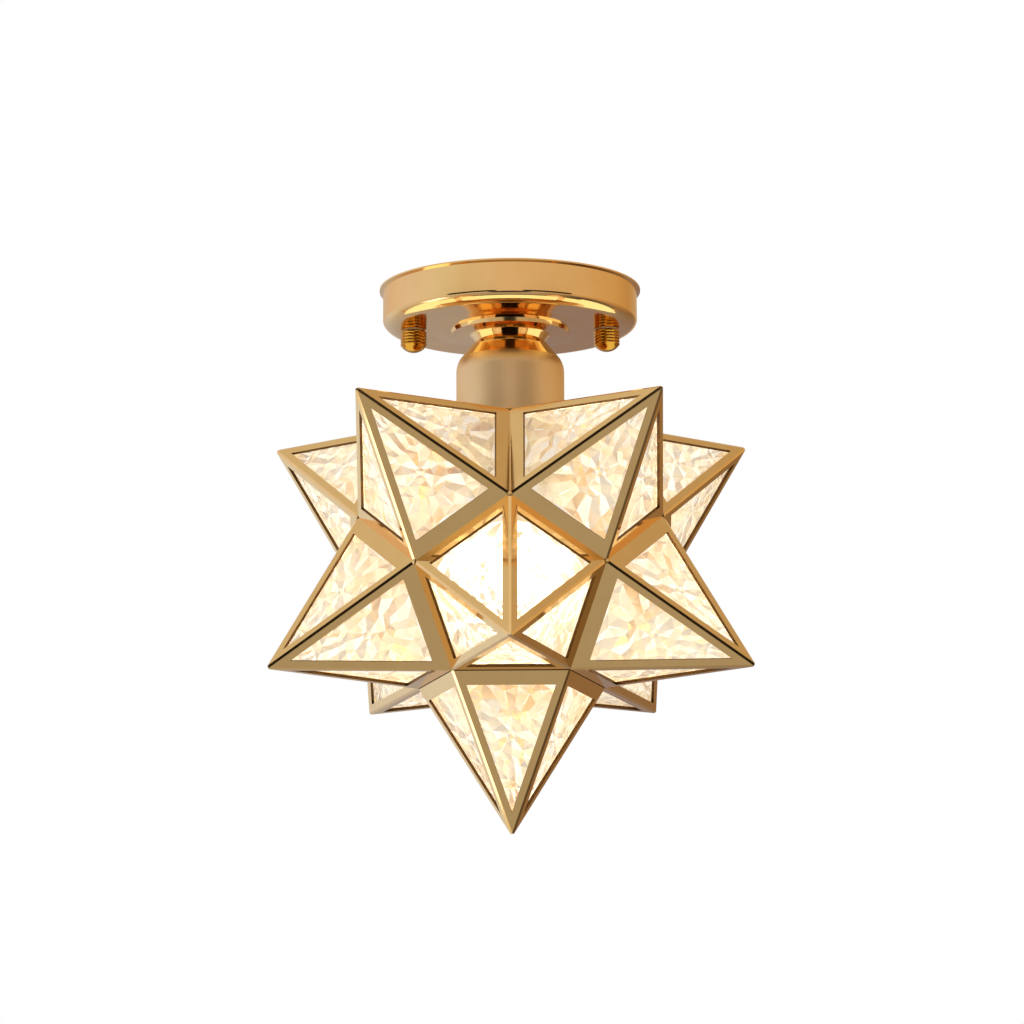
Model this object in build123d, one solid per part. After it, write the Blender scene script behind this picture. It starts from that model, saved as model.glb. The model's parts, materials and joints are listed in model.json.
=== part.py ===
from build123d import *
import os
from math import asin, atan, cos, degrees, radians, sin, sqrt, tan

# Star ceiling light, millimetres. The origin is the middle of the canopy on the ceiling, +Z up.
# The front of the light faces -Y. Azimuths run from the front towards +X.

# Star: a twelve-pointed stellation whose top point makes way for the lampholder
star_edge = 53.0              # valley edge, one side of the pentagon that a point stands on
point_height = 70.5           # height of a point over its pentagon, to the sharp apex
tip_blunt = 1.9               # how far the blunted tip stops short of the sharp apex
tip_hole_radius = 0.6         # relief hole where the five folds of a point meet
fold_blunt = 0.4              # how far the fold along a ridge is blunted
frame_sheet = 1.4             # brass sheet of the point frames
base_band = 7.0               # band of sheet between a valley edge and its window
ridge_band = 3.8              # band of sheet between a ridge and its window
pane_thickness = 2.5          # pressed glass
pane_lap = 3.0                # how far a pane reaches behind the band along its valley edge
pane_seat_gap = 0.1           # bedding between a pane and the sheet
pane_side_gap = 0.2           # pane edge to the plane that halves its ridge
top_plate_sheet = 1.5         # pentagon plate that closes the top of the star

# Canopy on the ceiling
canopy_radius = 58.5
canopy_depth = 18.75
canopy_sheet = 1.0
corner_width = 8.0            # rounded lower corner, a quarter of an ellipse
corner_height = 4.5
lip_reach = 1.6               # lip past the wall at the ceiling
lip_height = 0.7
lip_flare = 0.6               # height over which the lip runs out into the wall
step_washer_gap = 2.25        # edge of the shallow pressed disc on the underside to the nut washers
step_depth = 0.4

# Neck between canopy and star
collar_radius = 27.4          # trumpet collar where it meets the canopy
collar_rim = 0.6
collar_height = 6.4
flare_width = 6.8             # shallow conical brim of the trumpet
flare_drop = 1.2
waist_radius = 15.0           # narrowest place, where the two collars meet
waist_lean = 25.0             # lean of the trumpet's wall at the waist, degrees from upright
cone_ledge = 2.0              # flat ledge of the cone collar round the waist
cone_height = 7.5
cone_radius = 23.1            # cone collar where it meets the cup
collar_wall = 3.1             # turned wall of the trumpet at the waist
cup_radius = 24.8
cup_shoulder = 6.1            # height of the rounded shoulder
cup_length = 32.7
cup_wall = 1.2

# Threaded nipple that ties canopy, collars, cup and lampholder together
nipple_radius = 5.0
nipple_wall = 1.25
nipple_rise = 3.0             # nipple standing above its nut
nipple_grip = 6.0             # nipple screwed into the lampholder cap
nipple_nut_width = 14.0       # across flats
nipple_nut_height = 4.0
lock_washer_radius = 9.0
lock_washer_sheet = 1.0

# Ceiling bracket and its fasteners
stud_inset = 14.05            # stud from the canopy wall
stud_radius = 1.95
bracket_end = 7.5             # strap past a stud
bracket_width = 16.0
bracket_corner = 5.0
bracket_sheet = 1.6
bracket_wire_hole = 6.5       # radius of the hole that lets the supply wires through
slot_width = 4.5
slot_length = 20.0            # overall
slot_stud_gap = 4.45          # end of a slot to the middle of the stud
lock_nut_width = 7.0          # across flats
lock_nut_height = 3.2
earth_screw_radius = 1.95
earth_head_radius = 4.0
earth_head_height = 2.6
earth_slot = 0.9              # width of the driver slot, which is half as deep as the head
thread_clearance = 0.05       # thread in its hole, radial
hole_clearance = 0.3          # sheet holes round studs and nipple, radial

# Ringed cap nuts under the canopy
cap_nut_radius = 6.0
cap_nut_band = 7.0            # height of the ringed band
cap_nut_dome = 2.8
cap_nut_grip = 7.0            # stud inside the nut
cap_nut_end_room = 0.6        # end of the stud to the end of the blind bore
cap_nut_rings = 5
cap_nut_groove = 0.4          # depth of the grooves between the rings
cap_nut_groove_slope = 0.45   # height over which a groove runs out
nut_washer_radius = 5.2
nut_washer_sheet = 0.6
running_clearance = 0.1       # turning nut on its stud, radial

# Lampholder and the ring that clamps the star to the cup
holder_cap_radius = 19.0
holder_cap_height = 14.5
holder_cap_wall = 3.0
holder_radius = 19.8          # threaded skirt
holder_reach = 13.5           # skirt below the top plate
holder_floor = 5.0
plate_clearance = 0.3         # top plate round the skirt, radial
ring_clearance = 0.1          # shade ring on the skirt, radial
ring_width = 7.1
ring_height = 7.0
skirt_wall = 5.5
shell_sheet = 0.7             # screw shell that takes the lamp cap
shell_setback = 4.0           # shell behind the mouth of the skirt
shell_clearance = 0.1         # shell in the skirt, radial
contact_length = 11.0         # leaf of the centre contact
contact_width = 5.0
contact_sheet = 0.6
contact_button = 2.2          # radius of the button on the leaf
contact_gap = 0.3             # button to the lamp
terminal_size = 5.0           # cube terminals on the floor of the lampholder
terminal_spacing = 18.0

# Lamp with a screw cap
bulb_length = 105.0
bulb_radius = 30.0
bulb_joint_rise = 14.0        # joint of housing and dome above the middle of the dome
bulb_wall = 1.4
bulb_joint_wall = 1.8         # flat edge of the housing where the dome meets it
bulb_shoulder_wall = 4.2      # thickness of the housing under the cap
bulb_neck_overhang = 1.5      # housing past the cap at their joint
bulb_mouth_gap = 1.0          # housing to the mouth of the skirt
bulb_cap_clearance = 0.4      # lamp cap inside the screw shell, radial
bulb_cap_sheet = 0.8
bulb_cap_length = 22.0
bulb_neck_length = 12.0       # housing inside the cap
bulb_insulator_height = 2.8
bulb_insulator_inset = 2.0    # insulator from the edge of the cap
bulb_contact_radius = 4.6
bulb_contact_height = 1.0
bulb_board_sheet = 1.2
bulb_board_setback = 1.0      # LED board inside the housing
bulb_fit = 0.1                # parts of the lamp in each other, radial

# Terminal block and leads
block_width = 20.0
block_depth = 13.0
block_height = 11.0
block_front = 20.0            # front face from the middle of the canopy
block_pole_spacing = 9.0
block_screw_radius = 1.7
block_screw_depth = 4.0
block_screw_head = 0.6        # head above the block
block_screw_inset = 3.2       # from the front and the back of the block
lead_radius = 1.1
lead_clearance = 0.2          # lead in the block, radial
lead_grip = 3.0               # lead inside the block
lead_spacing = 2.8            # between the two leads in the nipple
lead_loop = 5.5               # leads above the end of the nipple
lead_level_run = 10.0         # level stretch of a lead above the nipple
lead_straight = 3.0           # straight stretch of a lead before the block
lead_bend = 4.6
lead_terminal_bend = 3.4

# Relamping point at the bottom: hinge along one valley edge, spring catch along another
hinge_side = 2                # lower point beside the hinge, counted from the front to the right
catch_side = 3                # edge of the bottom point with the catch, counted from the hinge
door_gap = 0.25               # seam round the relamping point
hinge_length = 24.0
hinge_leaf_width = 6.3
hinge_leaf_sheet = 0.8
knuckle_radius = 1.8
knuckle_gap = 0.4             # between knuckles, and from a knuckle to what turns past it
hinge_pin_radius = 0.8
hinge_pin_clearance = 0.05
catch_length = 12.0
catch_sheet = 0.5
catch_reach = 3.0             # along each of the two bands that it bridges
catch_gap = 0.3               # catch to the band of the relamping point

# Sizes that follow from the regular pentagon and its dodecahedron
base_outradius = star_edge / (2 * sin(radians(36)))
base_inradius = star_edge / (2 * tan(radians(36)))
face_distance = star_edge / 2 * sqrt((25 + 11 * sqrt(5)) / 10)
face_height = sqrt(point_height ** 2 + base_inradius ** 2)
half_apex = atan(star_edge / 2 / face_height)
half_valley = radians(180) - atan(point_height / base_inradius) - atan(face_distance / base_inradius)
fold_cosine = (cos(radians(72)) * point_height ** 2 + base_inradius ** 2) / face_height ** 2
tan_half_fold = sqrt((1 + fold_cosine) / (1 - fold_cosine))

# Sizes that fit one piece to another
stud_offset = canopy_radius - stud_inset
step_radius = stud_offset - nut_washer_radius - step_washer_gap
slot_offset = stud_offset - slot_stud_gap - slot_length / 2
earth_screw_offset = (bracket_wire_hole + slot_offset - slot_length / 2) / 2
nipple_bore = nipple_radius - nipple_wall
collar_bore = waist_radius - collar_wall
shell_radius = holder_radius - skirt_wall - shell_clearance
bulb_cap_radius = shell_radius - shell_sheet - bulb_cap_clearance
bulb_joint_radius = sqrt(bulb_radius ** 2 - bulb_joint_rise ** 2)
knuckle_lift = knuckle_radius + knuckle_gap
knuckle_foot = knuckle_lift / tan(half_valley)
pane_back = frame_sheet + pane_seat_gap + pane_thickness
pane_ridge_inset = pane_back / tan_half_fold + pane_side_gap

# Heights from the ceiling down
collar_top = -(canopy_depth + step_depth)
waist_level = collar_top - collar_height
cup_top = waist_level - cone_height
plate_top = cup_top - cup_length
star_centre = Vector(0, 0, plate_top - face_distance)
canopy_floor = collar_top + canopy_sheet
lead_entry_level = canopy_floor + block_height / 2
nipple_nut_seat = canopy_floor + lock_washer_sheet
nipple_nut_top = nipple_nut_seat + nipple_nut_height
nipple_top = nipple_nut_top + nipple_rise
nut_seat = -canopy_depth - nut_washer_sheet
stud_end = nut_seat - cap_nut_grip
holder_top = cup_top - cup_wall
nipple_foot = holder_top - nipple_grip
holder_joint = holder_top - holder_cap_height
holder_seat = holder_joint - holder_floor
holder_mouth = plate_top - top_plate_sheet - holder_reach
bulb_shoulder = holder_mouth - bulb_mouth_gap
bulb_cap_top = bulb_shoulder + bulb_cap_length
bulb_contact_seat = bulb_cap_top + bulb_insulator_height
bulb_tip = bulb_contact_seat + bulb_contact_height
bulb_middle = bulb_tip - bulb_length + bulb_radius
bulb_joint = bulb_middle + bulb_joint_rise


def turned(*lines):
    """Solid of revolution about the vertical axis, from lines drawn as (radius, height)."""
    edges = [edge for line in lines for edge in line.edges()]
    return revolve(Plane.XZ * make_face(edges), axis=Axis.Z)


def tube(outer, inner, top, bottom):
    """Upright tube."""
    return Pos(0, 0, bottom) * extrude(Circle(outer) - Circle(inner), amount=top - bottom)


def rod(radius, top, bottom):
    """Upright rod."""
    return Pos(0, 0, bottom) * extrude(Circle(radius), amount=top - bottom)


def hexagon_nut(width, bore, top, bottom):
    """Hexagon nut from its width across flats."""
    ring = RegularPolygon(width / 2, 6, major_radius=False) - Circle(bore)
    return Pos(0, 0, bottom) * extrude(ring, amount=top - bottom)


def on_both_sides(solid, offset):
    """The solid at both ends of a left to right spacing."""
    return [Pos(-offset, 0, 0) * solid, Pos(offset, 0, 0) * solid]


# Ceiling bracket and fasteners
def mounting_bracket():
    strap = RectangleRounded(2 * (stud_offset + bracket_end), bracket_width, bracket_corner)
    strap -= Circle(bracket_wire_hole)
    strap -= Pos(earth_screw_offset, 0) * Circle(earth_screw_radius + thread_clearance)
    for side in (-1, 1):
        strap -= Pos(side * slot_offset, 0) * SlotOverall(slot_length, slot_width)
        strap -= Pos(side * stud_offset, 0) * Circle(stud_radius + thread_clearance)
    return Pos(0, 0, -bracket_sheet) * extrude(strap, amount=bracket_sheet)


def earth_screw():
    head = rod(earth_head_radius, -bracket_sheet, -bracket_sheet - earth_head_height)
    slot = Box(2 * earth_head_radius, earth_slot, earth_head_height)
    head -= Pos(0, 0, -bracket_sheet - earth_head_height) * slot
    return Pos(earth_screw_offset, 0, 0) * (head + rod(earth_screw_radius, 0, -bracket_sheet))


def cap_nut():
    """Turned nut with rings round its band, a domed end and a blind bore."""
    pitch = cap_nut_band / cap_nut_rings
    groove_radius = cap_nut_radius - cap_nut_groove
    band_end = nut_seat - cap_nut_band
    dome_end = (0, band_end - cap_nut_dome)
    outline = [(0, nut_seat)]
    for ring in range(cap_nut_rings):
        top = nut_seat - ring * pitch
        outline.append((groove_radius, top))
        outline.append((cap_nut_radius, top - cap_nut_groove_slope))
        outline.append((cap_nut_radius, top - pitch + cap_nut_groove_slope))
    outline.append((groove_radius, band_end))
    nut = turned(
        Polyline(*outline),
        TangentArc(dome_end, (groove_radius, band_end), tangent=(1, 0)),
        Line(dome_end, (0, nut_seat)),
    )
    return nut - rod(stud_radius + running_clearance, nut_seat, stud_end - cap_nut_end_room)


# Canopy: spun shell with a thick lip and a shallow pressed disc
def canopy():
    inside = canopy_radius - canopy_sheet
    flare_end = -lip_height - lip_flare
    inner_step = step_radius - canopy_sheet
    hole = nipple_radius + hole_clearance
    corner_middle = (canopy_radius - corner_width, corner_height - canopy_depth)
    shell = turned(
        Polyline((inside, 0), (canopy_radius + lip_reach, 0), (canopy_radius + lip_reach, -lip_height)),
        Line((canopy_radius + lip_reach, -lip_height), (canopy_radius, flare_end)),
        Line((canopy_radius, flare_end), (canopy_radius, corner_middle[1])),
        EllipticalCenterArc(corner_middle, corner_width, corner_height, start_angle=270, arc_size=90),
        Polyline(
            (corner_middle[0], -canopy_depth),
            (step_radius, -canopy_depth),
            (step_radius, collar_top),
            (hole, collar_top),
            (hole, canopy_floor),
            (inner_step, canopy_floor),
            (inner_step, canopy_floor + step_depth),
            (corner_middle[0], canopy_floor + step_depth),
        ),
        EllipticalCenterArc(
            corner_middle,
            corner_width - canopy_sheet,
            corner_height - canopy_sheet,
            start_angle=270,
            arc_size=90,
        ),
        Line((inside, corner_middle[1]), (inside, 0)),
    )
    for stud_hole in on_both_sides(rod(stud_radius + hole_clearance, 0, collar_top), stud_offset):
        shell -= stud_hole
    return shell


# Neck: two turned collars and the spun cup
def canopy_collar():
    rim_foot = collar_top - collar_rim
    brim_inner = (collar_radius - flare_width, rim_foot - flare_drop)
    waist = (waist_radius, waist_level)
    lean = (sin(radians(waist_lean)), cos(radians(waist_lean)))
    return turned(
        Polyline(
            waist,
            (collar_bore, waist_level),
            (collar_bore, collar_top),
            (collar_radius, collar_top),
            (collar_radius, rim_foot),
            brim_inner,
        ),
        TangentArc(waist, brim_inner, tangent=lean),
    )


def cup_collar():
    return turned(
        Polyline(
            (collar_bore, waist_level),
            (waist_radius + cone_ledge, waist_level),
            (cone_radius, cup_top),
            (collar_bore, cup_top),
            close=True,
        )
    )


def socket_cup():
    hole = nipple_radius + hole_clearance
    inside = cup_radius - cup_wall
    shoulder_end = cup_top - cup_shoulder
    inner_rim = cone_radius - cup_wall
    return turned(
        TangentArc((cup_radius, shoulder_end), (cone_radius, cup_top), tangent=(0, 1)),
        Polyline((cone_radius, cup_top), (hole, cup_top), (hole, holder_top), (inner_rim, holder_top)),
        TangentArc((inside, shoulder_end), (inner_rim, holder_top), tangent=(0, 1)),
        Polyline(
            (inside, shoulder_end),
            (inside, plate_top),
            (cup_radius, plate_top),
            (cup_radius, shoulder_end),
        ),
    )


# Lampholder
def lampholder_cap():
    roof = tube(holder_cap_radius, nipple_radius + thread_clearance, holder_top, nipple_foot)
    return roof + tube(holder_cap_radius, holder_cap_radius - holder_cap_wall, nipple_foot, holder_joint)


def lampholder_body():
    skirt = tube(holder_radius, holder_radius - skirt_wall, holder_seat, holder_mouth)
    return skirt + rod(holder_radius, holder_joint, holder_seat)


def lampholder_centre_contact():
    leaf = Pos(0, 0, holder_seat - contact_sheet / 2) * Box(contact_length, contact_width, contact_sheet)
    return leaf + rod(contact_button, holder_seat, bulb_tip + contact_gap)


def lampholder_terminals():
    cube = Pos(0, 0, holder_joint + terminal_size / 2) * Box(terminal_size, terminal_size, terminal_size)
    return on_both_sides(cube, terminal_spacing / 2)


# Lamp
def bulb_screw_cap():
    skirt = tube(bulb_cap_radius, bulb_cap_radius - bulb_cap_sheet, bulb_cap_top, bulb_shoulder)
    return skirt + rod(bulb_cap_radius, bulb_cap_top, bulb_cap_top - bulb_cap_sheet)


def bulb_insulator():
    return turned(
        Polyline(
            (0, bulb_cap_top),
            (bulb_cap_radius - bulb_insulator_inset, bulb_cap_top),
            (bulb_contact_radius + bulb_cap_sheet, bulb_contact_seat),
            (0, bulb_contact_seat),
            close=True,
        )
    )


def bulb_housing():
    """Waisted shell between dome and cap, with a neck that stands in the cap."""
    rise = (-bulb_joint_rise, bulb_joint_radius)
    outer = (bulb_joint_radius, bulb_joint)
    inner = (bulb_joint_radius - bulb_joint_wall, bulb_joint)
    shoulder = (bulb_cap_radius + bulb_neck_overhang, bulb_shoulder)
    neck_radius = bulb_cap_radius - bulb_cap_sheet - bulb_fit
    neck_bore = neck_radius - bulb_wall
    neck_end = bulb_shoulder + bulb_neck_length
    narrow = (neck_bore, bulb_shoulder - bulb_shoulder_wall)
    return turned(
        TangentArc(outer, shoulder, tangent=rise),
        Polyline(
            shoulder,
            (neck_radius, bulb_shoulder),
            (neck_radius, neck_end),
            (neck_bore, neck_end),
            narrow,
        ),
        TangentArc(inner, narrow, tangent=rise),
        Line(inner, outer),
    )


def bulb_led_board():
    bottom = bulb_joint + bulb_board_setback
    top = bottom + bulb_board_sheet
    taper = (top - bulb_joint) * bulb_joint_rise / bulb_joint_radius
    return rod(bulb_joint_radius - bulb_joint_wall - taper - bulb_fit, top, bottom)


def bulb_dome():
    inside = bulb_radius - bulb_wall
    outer_turn = degrees(asin(bulb_joint_rise / bulb_radius))
    inner_turn = degrees(asin(bulb_joint_rise / inside))
    outer = CenterArc((0, bulb_middle), bulb_radius, -90, 90 + outer_turn)
    inner = CenterArc((0, bulb_middle), inside, -90, 90 + inner_turn)
    return turned(outer, Line(outer @ 1, inner @ 1), inner, Line(inner @ 0, outer @ 0))


# Terminal block and leads
def terminal_block():
    middle = block_front + block_depth / 2
    block = Pos(0, middle, lead_entry_level) * Box(block_width, block_depth, block_height)
    for side in (-1, 1):
        mouth = (side * block_pole_spacing / 2, block_front, lead_entry_level)
        entry = Plane(origin=mouth, z_dir=(0, 1, 0)) * Circle(lead_radius + lead_clearance)
        block -= extrude(entry, amount=lead_grip)
    for hole in terminal_block_screws(thread_clearance):
        block -= hole
    return block


def terminal_block_screws(clearance=0.0):
    top = canopy_floor + block_height + block_screw_head
    screw = rod(block_screw_radius + clearance, top, top - block_screw_head - block_screw_depth)
    front = block_front + block_screw_inset
    back = block_front + block_depth - block_screw_inset
    pair = on_both_sides(screw, block_pole_spacing / 2)
    return [Pos(0, row, 0) * member for row in (front, back) for member in pair]


def lamp_lead(side):
    """Lead from a lampholder terminal up the nipple and over into the terminal block."""
    foot = holder_joint + terminal_size / 2
    top = nipple_top + lead_loop
    nipple_x = side * lead_spacing / 2
    pole_x = side * block_pole_spacing / 2
    route = FilletPolyline(
        (side * (terminal_spacing - terminal_size) / 2, 0, foot),
        (nipple_x, 0, foot),
        (nipple_x, 0, top),
        (pole_x, lead_level_run, top),
        (pole_x, block_front - lead_straight, lead_entry_level),
        (pole_x, block_front + lead_grip, lead_entry_level),
        radius=[lead_terminal_bend, lead_bend, lead_bend, lead_bend],
    )
    return sweep(Plane(origin=route @ 0, z_dir=route % 0) * Circle(lead_radius), path=route)


# Star points, each in its own frame: pentagon in the XY plane, first valley edge towards +X, apex up
def corner(index, height=0.0, scale=1.0):
    """Corner of the pentagon, moved to a height and scaled about the axis."""
    turn = radians(72 * index + 36)
    return (scale * base_outradius * cos(turn), scale * base_outradius * sin(turn), height)


def edge_directions(side):
    """Outward and lengthwise directions of a valley edge."""
    turn = radians(72 * side)
    return Vector(cos(turn), sin(turn), 0), Vector(-sin(turn), cos(turn), 0)


def face_plane(side):
    """Outer plane of a face: origin in the middle of its valley edge, y up the face."""
    outward, lengthwise = edge_directions(side)
    normal = outward * point_height + Vector(0, 0, base_inradius)
    return Plane(origin=outward * base_inradius, x_dir=lengthwise, z_dir=normal)


def valley_direction(side):
    """Direction from the star's centre through the middle of a valley edge."""
    outward, lengthwise = edge_directions(side)
    return (outward * base_inradius + Vector(0, 0, face_distance)).normalized()


def neighbour_plane(side):
    """Outer plane of the neighbouring point's face across a valley edge."""
    own = face_plane(side)
    valley = valley_direction(side)
    normal = valley * (2 * own.z_dir.dot(valley)) - own.z_dir
    return Plane(origin=own.origin, x_dir=own.x_dir * -1, z_dir=normal)


def face_triangle(base_inset, ridge_inset):
    """Triangle of a face, drawn in from its valley edge and from its two ridges."""
    peak = face_height - ridge_inset / sin(half_apex)
    half_width = (peak - base_inset) * tan(half_apex)
    return Polygon((-half_width, base_inset), (half_width, base_inset), (0, peak), align=None)


def point_frame(seam=0.0):
    """Folded sheet of one point, mitred to its neighbours and pierced by five windows."""
    body = ConvexPolyhedron(
        [*[corner(index) for index in range(5)], (0, 0, point_height), (0, 0, -face_distance)]
    )
    for index in range(5):
        turn = radians(72 * index + 36)
        fold = Vector(point_height * cos(turn), point_height * sin(turn), base_outradius).normalized()
        flat = Plane(origin=Vector(*corner(index)) - fold * fold_blunt, z_dir=fold)
        body = split(body, flat, keep=Keep.BOTTOM)
    tip = Plane(origin=(0, 0, point_height - tip_blunt), z_dir=(0, 0, 1))
    body = split(body, tip, keep=Keep.BOTTOM)
    if seam:
        for side in range(5):
            outward, lengthwise = edge_directions(side)
            mitre = valley_direction(side).cross(lengthwise) * -1
            cut = Plane(origin=outward * base_inradius - mitre * seam, z_dir=mitre)
            body = split(body, cut, keep=Keep.BOTTOM)
    hollow_apex = point_height - frame_sheet * face_height / base_inradius
    hollow_foot = -2 * face_distance
    hollow_scale = (hollow_apex - hollow_foot) / point_height
    hollow_corners = [corner(index, hollow_foot, hollow_scale) for index in range(5)]
    body -= ConvexPolyhedron([*hollow_corners, (0, 0, hollow_apex)])
    for side in range(5):
        window = face_plane(side) * face_triangle(base_band, ridge_band)
        body -= extrude(window, amount=2 * frame_sheet, both=True)
    return body - rod(tip_hole_radius, point_height, hollow_apex - frame_sheet)


def point_panes():
    """Five glass panes behind the windows of one point."""
    outline = face_triangle(base_band - pane_lap, pane_ridge_inset)
    panes = []
    for side in range(5):
        seat = face_plane(side).offset(-frame_sheet - pane_seat_gap)
        panes.append(extrude(seat * outline, amount=-pane_thickness))
    return panes


def point_seat(direction, towards):
    """Plane of a point's pentagon in the star: z along the point, x to one of its edges."""
    level = towards - direction * towards.dot(direction)
    return Plane(origin=star_centre + direction * face_distance, x_dir=level, z_dir=direction)


def ring_direction(azimuth, height):
    """Unit vector to a point of the upper or lower ring."""
    turn = radians(azimuth)
    return Vector(2 * sin(turn), -2 * cos(turn), height).normalized()


def star_top_plate():
    """Pentagon that closes the top of the star, its edges mitred to the five upper points."""
    seat = point_seat(Vector(0, 0, 1), Vector(0, 1, 0))
    shrink = 1 - top_plate_sheet / face_distance
    top = [corner(index) for index in range(5)]
    bottom = [corner(index, -top_plate_sheet, shrink) for index in range(5)]
    plate = seat * ConvexPolyhedron([*top, *bottom])
    return plate - rod(holder_radius + plate_clearance, plate_top, plate_top - top_plate_sheet)


# Hinge and catch of the relamping point, in the frame of that point
def knuckle(start, end, radius):
    """Rod along the hinge axis, in the plane of a face at the hinged valley edge."""
    return Pos(start, knuckle_foot, knuckle_lift) * extrude(Plane.YZ * Circle(radius), amount=end - start)


def hinge_leaf(face, own_spans, other_spans):
    """Leaf on the band of a face, with its own knuckles and room for the other leaf's."""
    width = hinge_leaf_width - knuckle_foot
    plate = Box(hinge_length, width, hinge_leaf_sheet)
    leaf = Pos(0, knuckle_foot + width / 2, hinge_leaf_sheet / 2) * plate
    for start, end in other_spans:
        leaf -= knuckle(start - knuckle_gap, end + knuckle_gap, knuckle_radius + knuckle_gap)
    for start, end in own_spans:
        leaf += knuckle(start, end, knuckle_radius)
    return face * (leaf - knuckle(-hinge_length, hinge_length, hinge_pin_radius + hinge_pin_clearance))


def point_catch(side):
    """Spring strip inside the star that bridges the seam of the relamping point."""
    outward, lengthwise = edge_directions(side)
    valley = valley_direction(side)
    rise = face_plane(side).y_dir
    across = (valley * rise.dot(valley) - rise).normalized()
    spread = sin(half_valley)
    section = Plane(origin=outward * base_inradius, x_dir=valley, z_dir=valley.cross(across))
    near = frame_sheet
    gap = frame_sheet + catch_gap
    far = gap + catch_sheet

    def beside(hand, depth):
        along = catch_reach * cos(half_valley) - depth * spread
        return (along, hand * (catch_reach * spread + depth * cos(half_valley)))

    strip = Polygon(
        beside(1, near), (-near / spread, 0), (-gap / spread, 0), beside(-1, gap),
        beside(-1, far), (-far / spread, 0), beside(1, far), align=None,
    )
    return extrude(section * strip, amount=catch_length / 2, both=True)


# Every piece by its name
LOWER_POINTS = ("lower_front", "lower_right", "lower_back_right", "lower_back_left", "lower_left")
UPPER_POINTS = ("upper_front_right", "upper_right", "upper_back", "upper_left", "upper_front_left")
UP = Vector(0, 0, 1)
DOWN = Vector(0, 0, -1)

lock_nut_bore = stud_radius + thread_clearance
lock_nut = hexagon_nut(lock_nut_width, lock_nut_bore, -bracket_sheet, -bracket_sheet - lock_nut_height)
washer_bore = nipple_radius + hole_clearance
shell_foot = holder_mouth + shell_setback
ring_bore = holder_radius + ring_clearance
ring_top = plate_top - top_plate_sheet

pieces = {
    "mounting_bracket": mounting_bracket(),
    "bracket_studs": on_both_sides(rod(stud_radius, 0, stud_end), stud_offset),
    "stud_lock_nuts": on_both_sides(lock_nut, stud_offset),
    "earth_screw": earth_screw(),
    "terminal_block": terminal_block(),
    "terminal_block_screws": terminal_block_screws(),
    "live_lead": lamp_lead(-1),
    "neutral_lead": lamp_lead(1),
    "canopy": canopy(),
    "nipple": tube(nipple_radius, nipple_bore, nipple_top, nipple_foot),
    "nipple_nut": hexagon_nut(
        nipple_nut_width, nipple_radius + thread_clearance, nipple_nut_top, nipple_nut_seat
    ),
    "nipple_lock_washer": tube(lock_washer_radius, washer_bore, nipple_nut_seat, canopy_floor),
    "canopy_collar": canopy_collar(),
    "cup_collar": cup_collar(),
    "socket_cup": socket_cup(),
    "lampholder_cap": lampholder_cap(),
    "lampholder_body": lampholder_body(),
    "lampholder_terminals": lampholder_terminals(),
    "lampholder_screw_shell": tube(shell_radius, shell_radius - shell_sheet, holder_seat, shell_foot),
    "lampholder_centre_contact": lampholder_centre_contact(),
    "shade_ring": tube(ring_bore + ring_width, ring_bore, ring_top, ring_top - ring_height),
    "star_top_plate": star_top_plate(),
    "bulb_contact": rod(bulb_contact_radius, bulb_tip, bulb_contact_seat),
    "bulb_insulator": bulb_insulator(),
    "bulb_screw_cap": bulb_screw_cap(),
    "bulb_housing": bulb_housing(),
    "bulb_led_board": bulb_led_board(),
    "bulb_dome": bulb_dome(),
}

washer = tube(nut_washer_radius, stud_radius + hole_clearance, -canopy_depth, nut_seat)
pieces["left_nut_washer"], pieces["right_nut_washer"] = on_both_sides(washer, stud_offset)
pieces["left_cap_nut"], pieces["right_cap_nut"] = on_both_sides(cap_nut(), stud_offset)

frame = point_frame()
panes = point_panes()
for index in range(5):
    lower_seat = point_seat(ring_direction(72 * index, -1), DOWN)
    upper_seat = point_seat(ring_direction(72 * index + 36, 1), UP)
    pieces[LOWER_POINTS[index] + "_frame"] = lower_seat * frame
    pieces[LOWER_POINTS[index] + "_glass"] = [lower_seat * pane for pane in panes]
    pieces[UPPER_POINTS[index] + "_frame"] = upper_seat * frame
    pieces[UPPER_POINTS[index] + "_glass"] = [upper_seat * pane for pane in panes]

bottom_seat = point_seat(DOWN, ring_direction(72 * hinge_side, 0))
pieces["bottom_frame"] = bottom_seat * point_frame(door_gap)
pieces["bottom_glass"] = [bottom_seat * pane for pane in panes]

third = (hinge_length - 2 * knuckle_gap) / 3
outer_spans = [(-hinge_length / 2, third - hinge_length / 2), (hinge_length / 2 - third, hinge_length / 2)]
inner_span = [(-third / 2, third / 2)]
pieces["hinge_fixed_leaf"] = bottom_seat * hinge_leaf(neighbour_plane(0), outer_spans, inner_span)
pieces["hinge_moving_leaf"] = bottom_seat * hinge_leaf(face_plane(0), inner_span, outer_spans)
pin = knuckle(-hinge_length / 2, hinge_length / 2, hinge_pin_radius)
pieces["hinge_pin"] = bottom_seat * (face_plane(0) * pin)
pieces["point_catch"] = bottom_seat * point_catch(catch_side)

os.makedirs("parts", exist_ok=True)
for name, piece in pieces.items():
    members = piece if isinstance(piece, list) else [piece]
    export_step(Compound([solid for member in members for solid in member.solids()]), f"parts/{name}.step")

axis_point = bottom_seat * (face_plane(0) * Pos(0, knuckle_foot, knuckle_lift))
print("star centre", star_centre, "hinge axis through", axis_point.position)
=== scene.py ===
# %% [markdown]
# # A star ceiling light
# Eleven folded brass points with pressed glass panes hang under a round canopy. The solids come from CAD as a
# fixed frame in metres, with the ceiling at height zero and the front towards -Y. This file dresses them: it
# gives the metals, the mouldings and the lamp their finishes, presses a pattern into the glass, adds the
# solder where the points meet, turns the brightest pieces again in fine steps, and sets up a small studio.

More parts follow.
